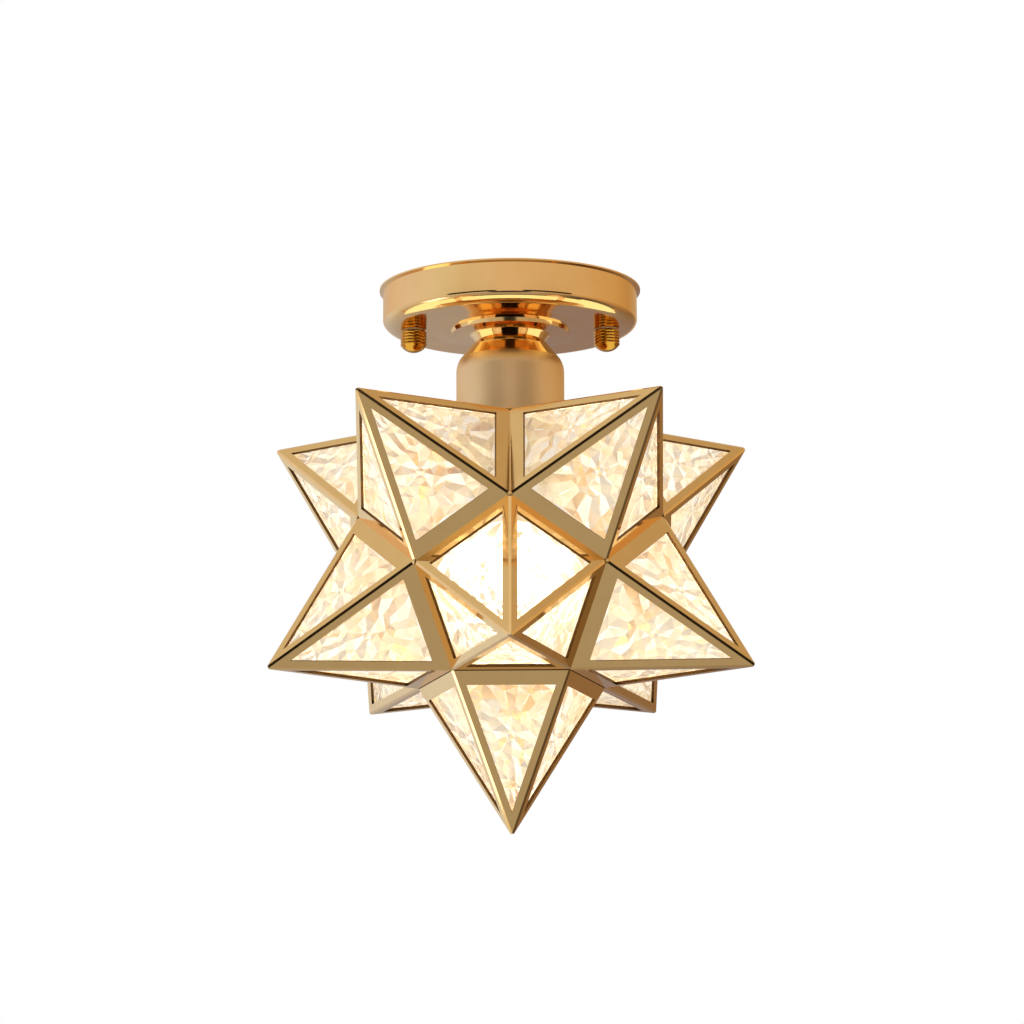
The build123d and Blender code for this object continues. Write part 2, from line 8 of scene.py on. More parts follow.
# %% Load the frame
import json
from math import asin, atan, cos, pi, radians, sin, sqrt, tan
import bmesh
import bpy
from mathutils import Matrix, Vector
from mathutils.geometry import delaunay_2d_cdt

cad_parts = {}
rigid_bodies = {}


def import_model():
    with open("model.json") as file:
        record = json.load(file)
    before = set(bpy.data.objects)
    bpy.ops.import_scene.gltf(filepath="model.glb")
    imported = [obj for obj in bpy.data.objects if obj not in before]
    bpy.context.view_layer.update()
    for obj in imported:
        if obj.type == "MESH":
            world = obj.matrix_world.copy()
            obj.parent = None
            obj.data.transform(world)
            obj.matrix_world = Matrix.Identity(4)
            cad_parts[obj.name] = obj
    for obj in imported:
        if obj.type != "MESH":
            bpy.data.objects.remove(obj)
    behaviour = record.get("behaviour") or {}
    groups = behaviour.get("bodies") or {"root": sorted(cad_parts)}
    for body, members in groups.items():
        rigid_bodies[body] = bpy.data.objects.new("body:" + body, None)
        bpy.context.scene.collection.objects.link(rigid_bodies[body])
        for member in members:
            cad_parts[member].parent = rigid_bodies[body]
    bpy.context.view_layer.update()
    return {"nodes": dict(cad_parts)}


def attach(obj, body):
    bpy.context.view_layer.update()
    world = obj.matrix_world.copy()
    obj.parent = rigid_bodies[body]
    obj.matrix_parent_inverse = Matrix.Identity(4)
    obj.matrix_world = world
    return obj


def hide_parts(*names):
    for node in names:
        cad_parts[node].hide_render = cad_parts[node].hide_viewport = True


for start_object in list(bpy.data.objects):
    bpy.data.objects.remove(start_object)
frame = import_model()
nodes = frame["nodes"]
MM = 0.001

# %% [markdown]
# ## Helpers for every finish
# A colour is written as it looks on a screen, in hex, and the renderer wants it linear, so one function
# converts it. Another adds a node, sets what is named and links what is given as a socket: with it a finish
# reads as a short list. Patterns are sized in millimetres, so a size is turned into a texture scale.

# %% Colour and node helpers
def srgb(code):
    """Linear colour from a screen colour in hex."""
    shares = [int(code[place:place + 2], 16) / 255 for place in (1, 3, 5)]
    return [s / 12.92 if s <= 0.04045 else ((s + 0.055) / 1.055) ** 2.4 for s in shares] + [1.0]


def add_node(tree, kind, inputs=None, stops=(), **settings):
    """A node with its settings; each input gets a value or a link, and a ramp its stops."""
    node = tree.nodes.new(kind)
    for name, value in settings.items():
        setattr(node, name, value)
    for number, (position, code) in enumerate(stops):
        elements = node.color_ramp.elements
        element = elements[number] if number < 2 else elements.new(position)
        element.position = position
        element.color = srgb(code)
    for name, value in (inputs or {}).items():
        if isinstance(value, bpy.types.NodeSocket):
            tree.links.new(value, node.inputs[name])
        else:
            node.inputs[name].default_value = value
    return node


def scale_for(size_mm):
    """Texture scale that repeats a pattern at this size."""
    return 1000 / size_mm


print("white is", srgb("#FFFFFF"))

# %% [markdown]
# Every finish starts from an empty tree and ends in one principled shader. No real surface has one even
# colour, so most finishes here share a cloudy tone: a noise that mixes two near colours. A Mix node keeps the
# sockets of all data types side by side, and those for colours are known by their numbers.

# %% Start and end of a finish
SHARE, COLOUR_A, COLOUR_B, MIXED = 0, 6, 7, 2


def start_finish(name):
    """A material and its empty tree."""
    finish = bpy.data.materials.new(name)
    finish.use_nodes = True
    finish.node_tree.nodes.clear()
    return finish, finish.node_tree


def end_finish(tree, inputs):
    """Put a principled shader with these values and links on the surface."""
    shader = add_node(tree, "ShaderNodeBsdfPrincipled", inputs)
    add_node(tree, "ShaderNodeOutputMaterial", {"Surface": shader.outputs["BSDF"]})


def cloudy_tone(tree, place, light, dark, size_mm, detail):
    """Clouds of this size, and the colour that they mix from two."""
    noise = add_node(tree, "ShaderNodeTexNoise", {
        "Vector": place, "Scale": scale_for(size_mm), "Detail": detail,
    })
    cloud = noise.outputs["Fac"]
    tone = add_node(tree, "ShaderNodeMix", {SHARE: cloud, COLOUR_A: srgb(light), COLOUR_B: srgb(dark)},
                    data_type="RGBA")
    return cloud, tone.outputs[MIXED]


print("a pattern of 2 mm has the scale", scale_for(2))

# %% [markdown]
# ## The rule of the star
# Each point is a five-sided pyramid that stands on one face of a regular dodecahedron with 53 mm edges. All
# places on the star follow from that edge and the height of a point, so they are worked out once here. A
# point has a frame of its own: its pentagon lies in XY, its first valley edge faces +X and its tip is up.

# %% Sizes of the star
EDGE = 53.0 * MM
POINT_HEIGHT = 70.5 * MM
STAR_CENTRE = Vector((0, 0, -124.766 * MM))
SIDES = 5
SIDE_TURN = 72
inradius = EDGE / (2 * tan(radians(SIDE_TURN / 2)))
outradius = EDGE / (2 * sin(radians(SIDE_TURN / 2)))
face_distance = EDGE / 2 * sqrt((25 + 11 * sqrt(5)) / 10)
face_height = sqrt(POINT_HEIGHT ** 2 + inradius ** 2)
half_apex = atan(EDGE / 2 / face_height)
plane_distance = inradius * (POINT_HEIGHT + face_distance) / face_height
print("face of a point:", round(face_height / MM, 2), "mm high")

# %% Seats of the points
LOWER = ("lower_front", "lower_right", "lower_back_right", "lower_back_left", "lower_left")
UPPER = ("upper_front_right", "upper_right", "upper_back", "upper_left", "upper_front_left")
DOWN, UP = Vector((0, 0, -1)), Vector((0, 0, 1))


def point_seat(direction, towards):
    """Matrix from the frame of a point to the star."""
    up = direction.normalized()
    ahead = (towards - up * towards.dot(up)).normalized()
    turn = Matrix((ahead, up.cross(ahead), up)).transposed()
    return Matrix.Translation(STAR_CENTRE + up * face_distance) @ turn.to_4x4()


def ring_direction(azimuth, height):
    """Direction to a point of a ring, from the front towards +X."""
    return Vector((2 * sin(radians(azimuth)), -2 * cos(radians(azimuth)), height))


seats = {"bottom": point_seat(DOWN, ring_direction(2 * SIDE_TURN, 0))}
for index in range(SIDES):
    seats[LOWER[index]] = point_seat(ring_direction(SIDE_TURN * index, -1), DOWN)
    seats[UPPER[index]] = point_seat(ring_direction(SIDE_TURN * (index + 0.5), 1), UP)
print("seats of points:", len(seats))

# %% [markdown]
# ## Polished gold plate
# The point frames are brass sheet, polished and gold plated. A polished metal is nearly a mirror, so the
# colour that the eye gets is the gold tint times whatever stands in that direction. Real sheet is never
# quite flat and is wiped by hand: a broad, very shallow bump bends the reflections a little, and a fine
# noise varies tone and roughness like wipe marks. A flat colour would look like paint. The walls along the
# edges of the windows are painted dark brown, as painted shade. All faces of the star lie equally far from
# its middle, so a surface point whose plane passes closer to the middle belongs to such an edge wall.

# %% Polished gold plate
SHADED_EDGE_DEPTH = 3 * MM
gold_polished, tree = start_finish("gold_plated_brass_polished")
coords = add_node(tree, "ShaderNodeTexCoord").outputs
wipe, tone = cloudy_tone(tree, coords["Object"], "#F6D08E", "#EFC380", size_mm=9, detail=4.0)
rough = add_node(tree, "ShaderNodeMapRange", {"Value": wipe, "To Min": 0.05, "To Max": 0.11})
arm = add_node(tree, "ShaderNodeVectorMath", {0: coords["Object"], 1: STAR_CENTRE}, operation="SUBTRACT")
reach = add_node(tree, "ShaderNodeVectorMath", {0: arm.outputs[0], 1: coords["Normal"]},
                 operation="DOT_PRODUCT")
away = add_node(tree, "ShaderNodeMath", {0: reach.outputs["Value"]}, operation="ABSOLUTE")
# Mask of the walls along the window edges, which get a dark brown painted shade and more roughness
edge_shade = add_node(tree, "ShaderNodeMath", {0: away.outputs[0], 1: plane_distance - SHADED_EDGE_DEPTH},
               operation="LESS_THAN")
colour = add_node(tree, "ShaderNodeMix", {SHARE: edge_shade.outputs[0], COLOUR_A: tone, COLOUR_B: srgb("#6E4F2A")},
                  data_type="RGBA")
grip = add_node(tree, "ShaderNodeMapRange", {
    "Value": edge_shade.outputs[0], "To Min": rough.outputs["Result"], "To Max": 0.45,
})
wave = add_node(tree, "ShaderNodeTexNoise", {"Vector": coords["Object"], "Scale": scale_for(28), "Detail": 1.0})
bump = add_node(tree, "ShaderNodeBump", {"Height": wave.outputs["Fac"], "Strength": 0.06, "Distance": 2 * MM})
end_finish(tree, {
    "Metallic": 1.0, "Base Color": colour.outputs[MIXED], "Roughness": grip.outputs["Result"],
    "Normal": bump.outputs["Normal"],
})
print("made", gold_polished.name)

# %% [markdown]
# ## Turned gold and brass
# The canopy and the collars turn on a lathe before they are plated, and the cap nuts are turned from solid
# brass, deeper in colour. The tool leaves rings that are finer than a pixel. Here a very shallow wave stands
# for them, with its rings 9.4 mm apart, far coarser than the real ones: it bends the reflections a little. An
# anisotropic shader could hint at such rings too, but it needs tangents, and a wave texture in rings about
# the vertical needs only object coordinates.

# %% Turned gold and brass
RING_SPACING = 9.4248
WAVE_LENGTH = 2 * pi / 20  # from ring to ring in a wave texture of scale 1


def turned_metal(name, light, dark, roughness):
    """Metal off the lathe, with shallow rings about the vertical and a cloudy tone."""
    finish, tree = start_finish(name)
    place = add_node(tree, "ShaderNodeTexCoord").outputs["Object"]
    cloud, tone = cloudy_tone(tree, place, light, dark, size_mm=16, detail=3.0)
    rough = add_node(tree, "ShaderNodeMapRange", {
        "Value": cloud, "To Min": 0.75 * roughness, "To Max": 1.25 * roughness,
    })
    rings = add_node(tree, "ShaderNodeTexWave", {
        "Vector": place, "Scale": scale_for(RING_SPACING) * WAVE_LENGTH, "Distortion": 0.4,
    }, wave_type="RINGS", rings_direction="Z")
    bump = add_node(tree, "ShaderNodeBump", {
        "Height": rings.outputs["Fac"], "Strength": 0.03, "Distance": 0.2 * MM,
    })
    end_finish(tree, {
        "Metallic": 1.0, "Base Color": tone, "Roughness": rough.outputs["Result"],
        "Normal": bump.outputs["Normal"],
    })
    return finish


gold_spun = turned_metal("gold_plated_brass_spun", "#F4CB8D", "#EABB78", 0.095)
brass_nut = turned_metal("turned_brass", "#D0963F", "#BA7E2C", 0.16)
print("made", gold_spun.name, brass_nut.name)

# %% [markdown]
# ## Satin gold plate
# The cup over the lampholder is blasted before plating, so it scatters light: a wide soft sheen from left to
# right and no clear reflections. A fine grain of 0.6 mm in bump and roughness keeps it from looking smooth
# like plastic. The leaves of the small hinge, which nobody polishes, have the same finish.

# %% Satin gold plate
gold_satin, tree = start_finish("gold_plated_brass_satin")
place = add_node(tree, "ShaderNodeTexCoord").outputs["Object"]
_, tone = cloudy_tone(tree, place, "#EFCD9E", "#E6C08C", size_mm=20, detail=2.0)
grain = add_node(tree, "ShaderNodeTexNoise", {"Vector": place, "Scale": scale_for(0.6), "Detail": 2.0})
rough = add_node(tree, "ShaderNodeMapRange", {"Value": grain.outputs["Fac"], "To Min": 0.36, "To Max": 0.5})
bump = add_node(tree, "ShaderNodeBump", {
    "Height": grain.outputs["Fac"], "Strength": 0.05, "Distance": 0.1 * MM,
})
end_finish(tree, {
    "Metallic": 1.0, "Base Color": tone, "Roughness": rough.outputs["Result"], "Normal": bump.outputs["Normal"],
})
print("made", gold_satin.name)

# %% [markdown]
# ## Metals inside
# Strap, studs, nuts, catch and hinge pin are zinc-plated steel: bluish grey, with the cloudy spangle that
# plating leaves. The lampholder's contacts are bare brass, the lamp's cap is nickel plated and its LED board
# is bare aluminium. They share one recipe, a mottled metal, with their own colours, roughness and mottle.

# %% Mottled metals
def mottled_metal(name, light, dark, roughness, mottle_mm):
    """Plated or bare metal whose tone and roughness vary in clouds."""
    finish, tree = start_finish(name)
    place = add_node(tree, "ShaderNodeTexCoord").outputs["Object"]
    cloud, tone = cloudy_tone(tree, place, light, dark, mottle_mm, detail=5.0)
    rough = add_node(tree, "ShaderNodeMapRange", {
        "Value": cloud, "To Min": 0.7 * roughness, "To Max": 1.3 * roughness,
    })
    end_finish(tree, {"Metallic": 1.0, "Base Color": tone, "Roughness": rough.outputs["Result"]})
    return finish


zinc = mottled_metal("zinc_plated_steel", "#D3D6DA", "#A9AEB5", 0.34, 3.0)
brass = mottled_metal("bare_brass", "#E3C077", "#C79F55", 0.3, 2.5)
nickel = mottled_metal("nickel_plate", "#E2DDD2", "#C9C2B4", 0.2, 4.0)
aluminium = mottled_metal("bare_aluminium", "#DCDDDE", "#C2C4C6", 0.42, 2.0)
print("made", zinc.name, brass.name, nickel.name, aluminium.name)

# %% [markdown]
# ## Mouldings
# Lampholder and shade ring are cream phenolic, the terminal block is white nylon, the nut washers are natural
# nylon, the leads have soft brown and blue insulation, and the lamp has a white housing and a black
# insulator. A moulding has an even colour, a slight mottle from the melt and the fine orange peel of its
# tool, which a shallow bump gives.

# %% Mouldings
def moulding(name, light, dark, roughness, peel_mm):
    """Moulded plastic with a faint mottle and the texture of its tool."""
    finish, tree = start_finish(name)
    place = add_node(tree, "ShaderNodeTexCoord").outputs["Object"]
    _, tone = cloudy_tone(tree, place, light, dark, size_mm=7, detail=3.0)
    peel = add_node(tree, "ShaderNodeTexNoise", {"Vector": place, "Scale": scale_for(peel_mm), "Detail": 1.0})
    bump = add_node(tree, "ShaderNodeBump", {
        "Height": peel.outputs["Fac"], "Strength": 0.1, "Distance": 0.1 * MM,
    })
    end_finish(tree, {
        "Base Color": tone, "Roughness": roughness, "IOR": 1.5, "Normal": bump.outputs["Normal"],
    })
    return finish


phenolic = moulding("cream_phenolic", "#EADFC8", "#DDCFB4", 0.4, 1.2)
nylon = moulding("white_nylon", "#EDEDE9", "#E0E0DB", 0.45, 0.8)
natural_nylon = moulding("natural_nylon", "#D9B98A", "#C9A674", 0.4, 0.8)
brown_lead = moulding("brown_soft_insulation", "#5B3A26", "#4A2D1C", 0.5, 0.6)
blue_lead = moulding("blue_soft_insulation", "#2E5FA3", "#244E8B", 0.5, 0.6)
insulator = moulding("black_glazed_insulator", "#2A2A2C", "#1D1D1F", 0.2, 1.0)
housing = moulding("white_lamp_housing", "#F3F2EE", "#E7E5DF", 0.35, 0.9)
print("made seven mouldings")

# %% [markdown]
# ## The lit lamp
# The dome is opal plastic and the lamp is on, so it glows evenly in a warm white. A light object inside it
# would light the points, but the dome itself would not show through the glass, so the glow is a plain
# emission on top of the plastic. Strength 5 makes the dome clip to white behind the glass.

# %% Opal lamp dome
opal, tree = start_finish("opal_lamp_dome")
place = add_node(tree, "ShaderNodeTexCoord").outputs["Object"]
_, tone = cloudy_tone(tree, place, "#FBF4E6", "#F6ECD9", size_mm=12, detail=2.0)
end_finish(tree, {
    "Base Color": tone, "Roughness": 0.3, "IOR": 1.49, "Emission Color": srgb("#FFE4BE"),
    "Emission Strength": 5.0,
})
print("made", opal.name)

# %% [markdown]
# ## Pressed glass, finish
# The panes are clear glass pressed in a patterned mould. The pattern itself is geometry, made below. The
# finish is a soda glass, with an index a little under the usual 1.5 and some roughness from the mould. The
# lamp's light runs along inside such a pane and leaves it at the relief, which a renderer hardly catches, so
# each facet has painted light: the mesh stores a tone for each, one ramp turns it into a glow, and another
# dims what is seen through it, which is painted shade. Tone zero is the plain back and edge of a pane, which
# neither glow nor dim.

# %% Pressed glass
PAINTED_LIGHT_ATTRIBUTE = "facet_painted_light"
glass, tree = start_finish("clear_pressed_glass")
place = add_node(tree, "ShaderNodeTexCoord").outputs["Object"]
facet = add_node(tree, "ShaderNodeAttribute", attribute_name=PAINTED_LIGHT_ATTRIBUTE).outputs["Fac"]
# Painted light: the facet's tone turns into a glow of the glass
caught = add_node(tree, "ShaderNodeValToRGB", {"Fac": facet}, stops=(
    (0.0, "#000000"), (0.08, "#B4A79C"), (0.3, "#DBC6A8"), (0.55, "#F5D9AC"), (0.8, "#FFEFCF"),
    (1.0, "#FFFDF6"),
))
# Painted shade: the facet's tone greys and dims what is seen through the glass
painted_dimming = add_node(tree, "ShaderNodeValToRGB", {"Fac": facet}, stops=(
    (0.0, "#FFFEFA"), (0.08, "#A0978A"), (0.3, "#A89E8A"), (0.55, "#AEA48D"), (0.8, "#B3AA96"),
    (1.0, "#B8B2A8"),
))
ripple = add_node(tree, "ShaderNodeTexNoise", {"Vector": place, "Scale": scale_for(5), "Detail": 2.0})
bump = add_node(tree, "ShaderNodeBump", {
    "Height": ripple.outputs["Fac"], "Strength": 0.05, "Distance": 0.5 * MM,
})
end_finish(tree, {
    "Base Color": painted_dimming.outputs["Color"], "Roughness": 0.15, "IOR": 1.45, "Transmission Weight": 1.0,
    "Emission Color": caught.outputs["Color"], "Emission Strength": 0.5, "Normal": bump.outputs["Normal"],
})
print("made", glass.name)

# %% [markdown]
# ## Pressed glass, shape
# On the real pane a rosette of large kites sits in the middle, and long flutes fan out from it to the edges,
# bent away from the middle line. Each is a ridge with a narrow crest between two grooves. It could be a bump
# map, but then the glass would not break the light up, so it is cut into the mesh: ridge and groove lines are
# set out in rings round the rosette, and a Delaunay triangulation that keeps those lines makes the facets.

# %% Lines of the rosette
ROSETTE = Vector((0, 31 * MM))
RELIEF = 0.9 * MM
LEAF_BEND, BEND_REACH = 0.4, 30 * MM
CREST = 0.3 * MM
HEART_DEPTH = 0.9
# Each ring has its inner and outer radius in millimetres and its number of leaves. Ridge and groove lines run
# outwards: the share of the way and the depth as a share of the relief.
LEAF_RINGS = ((2.0, 11.0, 5), (11.8, 24.0, 15), (25.0, 50.0, 36))
RIDGE = ((0.0, 0.3), (0.3, 0.0), (0.75, 0.0), (1.0, 0.4))
GROOVE = ((0.1, 0.9), (0.5, 1.0), (0.92, 0.85))


def rosette_place(radius, turn):
    """Place on the pane: the turn runs from the valley edge, and leaves bend away from the middle line."""
    bent = turn + LEAF_BEND * sin(turn) * radius / BEND_REACH
    return ROSETTE + Vector((sin(bent), -cos(bent))) * radius


def rosette_lines():
    """Lines of the crests and grooves, each a row of places with their depths under the pane's face."""
    lines = [[(ROSETTE, HEART_DEPTH * RELIEF)]]
    for ring, (start, end, count) in enumerate(LEAF_RINGS):
        for half in range(2 * count):
            turn = pi * (half + 0.5 * ring) / count
            for side in (-1, 1) if half % 2 == 0 else (0,):
                line = []
                for share, depth in RIDGE if side else GROOVE:
                    radius = (start + (end - start) * share) * MM
                    line.append((rosette_place(radius, turn + side * CREST / radius), depth * RELIEF))
                lines.append(line)
    return lines


print("lines of the rosette:", len(rosette_lines()))

# %% [markdown]
# The outline of the pane cuts the rosette off. Places outside it or close to it are dropped, points along the
# edges take their place, and the triangulation is told to stay inside.

# %% Facets of one pane
PANE_FOOT, PANE_PEAK = 4.0 * MM, 71.0 * MM
EDGE_STEP, EDGE_MARGIN = 5 * MM, 1.0 * MM
EDGE_DEPTH, CROSSING_DEPTH = 0.2, 0.5
INSIDE_ONLY, SAME_SPOT = 1, 1e-7


def inside_pane(place, margin):
    """Whether a place lies inside the pane's triangle by a margin."""
    to_side = (PANE_PEAK - place.y) * sin(half_apex) - abs(place.x) * cos(half_apex)
    return place.y > PANE_FOOT + margin and to_side > margin


def pane_edge():
    """Points round the pane's outline, counter-clockwise."""
    half = (PANE_PEAK - PANE_FOOT) * tan(half_apex)
    corners = [Vector((-half, PANE_FOOT)), Vector((half, PANE_FOOT)), Vector((0, PANE_PEAK))]
    edge = []
    for index, corner in enumerate(corners):
        side = corners[(index + 1) % 3] - corner
        count = round(side.length / EDGE_STEP)
        edge += [corner + side * (number / count) for number in range(count)]
    return edge


def pane_facets():
    """Flat triangulation of a pane: its places, their depths and its triangles."""
    places = pane_edge()
    outline = list(range(len(places)))
    depths, lines = [EDGE_DEPTH * RELIEF] * len(places), []
    for line in rosette_lines():
        before = None
        for place, depth in line:
            if not inside_pane(place, EDGE_MARGIN):
                break
            places.append(place)
            depths.append(depth)
            if before is not None:
                lines.append((before, len(places) - 1))
            before = len(places) - 1
    found, _, facets, origins, _, _ = delaunay_2d_cdt(places, lines, [outline], INSIDE_ONLY, SAME_SPOT)
    found_depths = [depths[source[0]] if source else CROSSING_DEPTH * RELIEF for source in origins]
    return found, found_depths, facets


print("facets on the face of a pane:", len(pane_facets()[2]))

# %% [markdown]
# Now the flat facets get their depth and stand up on the face of the point. The edge is drawn down to the flat
# back, which closes the pane. Each facet gets a tone of painted light from the way it leans, brighter as it
# leans towards one side of the pane and towards its tip, as if lit from there, and the narrow crests get a
# white painted highlight.

# %% One pane
PANE_TOP, PANE_BACK = -1.5 * MM, -4.0 * MM
FACES_OUT, CREST_DEPTH = 0.5, 0.1
# Painted light by lean: weights towards one side and towards the tip, then the least, middle and gain of the
# tone
LEAN_ACROSS, LEAN_UP = 0.6, 0.8
TONE_LEAST, TONE_MIDDLE, TONE_GAIN = 0.08, 0.55, 2.0
face_x, face_y = Vector((0, 1, 0)), Vector((-inradius, 0, POINT_HEIGHT)).normalized()
face_z = face_x.cross(face_y)
foot = Vector((inradius, 0, 0))


def store_painted_light(mesh):
    """Write a tone of painted light for each facet of the pane's face; the other faces keep zero."""
    tones = mesh.attributes.new(PAINTED_LIGHT_ATTRIBUTE, "FLOAT", "FACE")
    for number, facet in enumerate(mesh.polygons):
        if facet.normal.dot(face_z) > FACES_OUT:
            # Painted light: facets leaning towards one side and the tip are brighter, and crests get a white
            # painted highlight
            lean = LEAN_ACROSS * facet.normal.dot(face_x) + LEAN_UP * facet.normal.dot(face_y)
            lowest = min((mesh.vertices[v].co - foot).dot(face_z) for v in facet.vertices)
            crest = lowest > PANE_TOP - CREST_DEPTH * RELIEF
            tone = 1.0 if crest else TONE_MIDDLE + TONE_GAIN * lean
            tones.data[number].value = min(1.0, max(TONE_LEAST, tone))


def pane_mesh():
    """Closed mesh of one pane, in the frame of its point, at the first valley edge."""
    places, depths, facets = pane_facets()
    mesh = bmesh.new()
    top = [mesh.verts.new(foot + face_x * place.x + face_y * place.y + face_z * (PANE_TOP - depth))
           for place, depth in zip(places, depths)]
    for facet in facets:
        mesh.faces.new([top[number] for number in facet])
    drawn = bmesh.ops.extrude_edge_only(mesh, edges=[e for e in mesh.edges if e.is_boundary])["geom"]
    for vert in [v for v in drawn if isinstance(v, bmesh.types.BMVert)]:
        vert.co += face_z * (PANE_BACK - (vert.co - foot).dot(face_z))
    bmesh.ops.contextual_create(mesh, geom=[e for e in mesh.edges if e.is_boundary])
    bmesh.ops.recalc_face_normals(mesh, faces=mesh.faces)
    plain = bpy.data.meshes.new("pane")
    mesh.to_mesh(plain)
    mesh.free()
    store_painted_light(plain)
    return plain


pane = pane_mesh()
print("one pane:", len(pane.polygons), "facets,", len(pane.vertices), "vertices")

# %% [markdown]
# ## Trees of Geometry Nodes
# Three things repeat or follow a rule: the panes, the beads of solder and the turned pieces. Each has a tree
# with named inputs. All end in the same way: what was made moves to its place, instances are made real,
# because the export drops them, and the finish goes on. A modifier takes its inputs by their identifiers and
# before it first runs. What it makes then becomes a plain mesh.

# %% Helpers for trees
def start_tree(name, inputs):
    """A tree with these named inputs, a place and a finish; returns it with the sockets of its inputs."""
    tree = bpy.data.node_groups.new(name, "GeometryNodeTree")
    for label, kind in {**inputs, "Place": "Vector", "Finish": "Material"}.items():
        tree.interface.new_socket(label, in_out="INPUT", socket_type="NodeSocket" + kind)
    tree.interface.new_socket("Made", in_out="OUTPUT", socket_type="NodeSocketGeometry")
    return tree, add_node(tree, "NodeGroupInput").outputs


def end_tree(tree, given, made, **turn):
    """Move what was made to its place, make instances real and set the finish."""
    placed = add_node(tree, "GeometryNodeTransform", {"Geometry": made, "Translation": given["Place"], **turn})
    real = add_node(tree, "GeometryNodeRealizeInstances", {"Geometry": placed.outputs[0]})
    dressed = add_node(tree, "GeometryNodeSetMaterial", {
        "Geometry": real.outputs[0], "Material": given["Finish"],
    })
    add_node(tree, "NodeGroupOutput", {"Made": dressed.outputs[0]})


def add_object(name, data):
    """A new object in the scene."""
    thing = bpy.data.objects.new(name, data)
    bpy.context.scene.collection.objects.link(thing)
    return thing


def evaluated_mesh(thing):
    """Plain mesh of an object with its modifiers."""
    bpy.context.view_layer.update()
    return bpy.data.meshes.new_from_object(thing.evaluated_get(bpy.context.evaluated_depsgraph_get()))


def plain_from_tree(name, mesh, tree, values):
    """Object whose mesh is what a tree makes of the given mesh."""
    maker = add_object(name + "_maker", mesh)
    modifier = maker.modifiers.new("tree", "NODES")
    modifier.node_group = tree
    for item in tree.interface.items_tree:
        if item.name in values:
            modifier[item.identifier] = values[item.name]
    made = evaluated_mesh(maker)
    bpy.data.objects.remove(maker)
    made.name = name
    finish = made.materials[-1]
    made.materials.clear()
    made.materials.append(finish)
    return add_object(name, made)


print("helpers for trees are ready")

# %% [markdown]
# ## Five panes round a point
# Every point has five panes, 72 degrees apart. An Array modifier could repeat one, but not seat the ring on the
# star as well. In the tree, points in a row each take an instance of the pane, turned by its number, and the
# whole ring is turned and moved to its seat. Each of the eleven rings becomes a plain mesh of its own, because
# the bottom one swings open with its frame.

# %% Tree that repeats the pane
ring_tree, given = start_tree("panes_round_a_point", {"Pane": "Geometry", "Count": "Int", "Turn": "Vector"})
spots = add_node(ring_tree, "GeometryNodePoints", {"Count": given["Count"]})
number = add_node(ring_tree, "GeometryNodeInputIndex").outputs["Index"]
share = add_node(ring_tree, "ShaderNodeMath", {0: number, 1: given["Count"]}, operation="DIVIDE")
turn = add_node(ring_tree, "ShaderNodeMath", {0: share.outputs[0], 1: 2 * pi}, operation="MULTIPLY")
euler = add_node(ring_tree, "ShaderNodeCombineXYZ", {"Z": turn.outputs[0]})
spin = add_node(ring_tree, "FunctionNodeEulerToRotation", {0: euler.outputs[0]})
copies = add_node(ring_tree, "GeometryNodeInstanceOnPoints", {
    "Points": spots.outputs[0], "Instance": given["Pane"], "Rotation": spin.outputs[0],
})
seat_turn = add_node(ring_tree, "FunctionNodeEulerToRotation", {0: given["Turn"]})
end_tree(ring_tree, given, copies.outputs[0], Rotation=seat_turn.outputs[0])
print("nodes of the tree:", len(ring_tree.nodes))

# %% Eleven rings of panes
for point, seat in seats.items():
    panes = plain_from_tree(point + "_panes", pane, ring_tree, {
        "Count": SIDES, "Turn": tuple(seat.to_euler()), "Place": tuple(seat.translation), "Finish": glass,
    })
    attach(panes, "relamping_point" if point == "bottom" else "fixture")
    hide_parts(point + "_glass")
print("rings of panes:", len(seats), "facets in one:", len(panes.data.polygons))

# %% [markdown]
# ## Solder where the points meet
# Three points meet at each corner of the dodecahedron, and a bead of solder, plated with the rest, closes the
# gap there. A bead is a small drop, a little flattened, that leans out along the line from the middle of the
# star. The corners follow from the seats: each point has five, and most are shared. The corners of the bottom
# point stay free, because that point opens. One instance of a drop on each corner is all that it takes.

# %% Corners of the star
APART = 1 * MM


def point_corners(seat):
    """The five corners of a point's pentagon, on the star."""
    turns = [radians(SIDE_TURN * (number + 0.5)) for number in range(SIDES)]
    return [seat @ Vector((outradius * cos(turn), outradius * sin(turn), 0)) for turn in turns]


corners, free = [], point_corners(seats["bottom"])
for seat in seats.values():
    for corner in point_corners(seat):
        if all((corner - other).length > APART for other in corners + free):
            corners.append(corner)
corner_mesh = bpy.data.meshes.new("corners")
corner_mesh.from_pydata([corner - STAR_CENTRE for corner in corners], [], [])
print("corners with a bead:", len(corners))

# %% Beads of solder
BEAD_RADIUS, BEAD_SINK, BEAD_SHAPE = 1.3 * MM, -0.5 * MM, (1.0, 1.0, 0.8)
bead_tree, given = start_tree("solder_beads", {"Corners": "Geometry", "Radius": "Float", "Sink": "Float"})
from_middle = add_node(bead_tree, "GeometryNodeInputPosition").outputs[0]
outward = add_node(bead_tree, "ShaderNodeVectorMath", {0: from_middle}, operation="NORMALIZE")
back_in = add_node(bead_tree, "ShaderNodeVectorMath", {0: outward.outputs[0], "Scale": given["Sink"]},
                   operation="SCALE")
sunk = add_node(bead_tree, "GeometryNodeSetPosition", {
    "Geometry": given["Corners"], "Offset": back_in.outputs[0],
})
lean = add_node(bead_tree, "FunctionNodeAlignRotationToVector", {"Vector": outward.outputs[0]}, axis="Z")
drop = add_node(bead_tree, "GeometryNodeMeshIcoSphere", {"Radius": given["Radius"], "Subdivisions": 3})
smooth = add_node(bead_tree, "GeometryNodeSetShadeSmooth", {"Geometry": drop.outputs[0]})
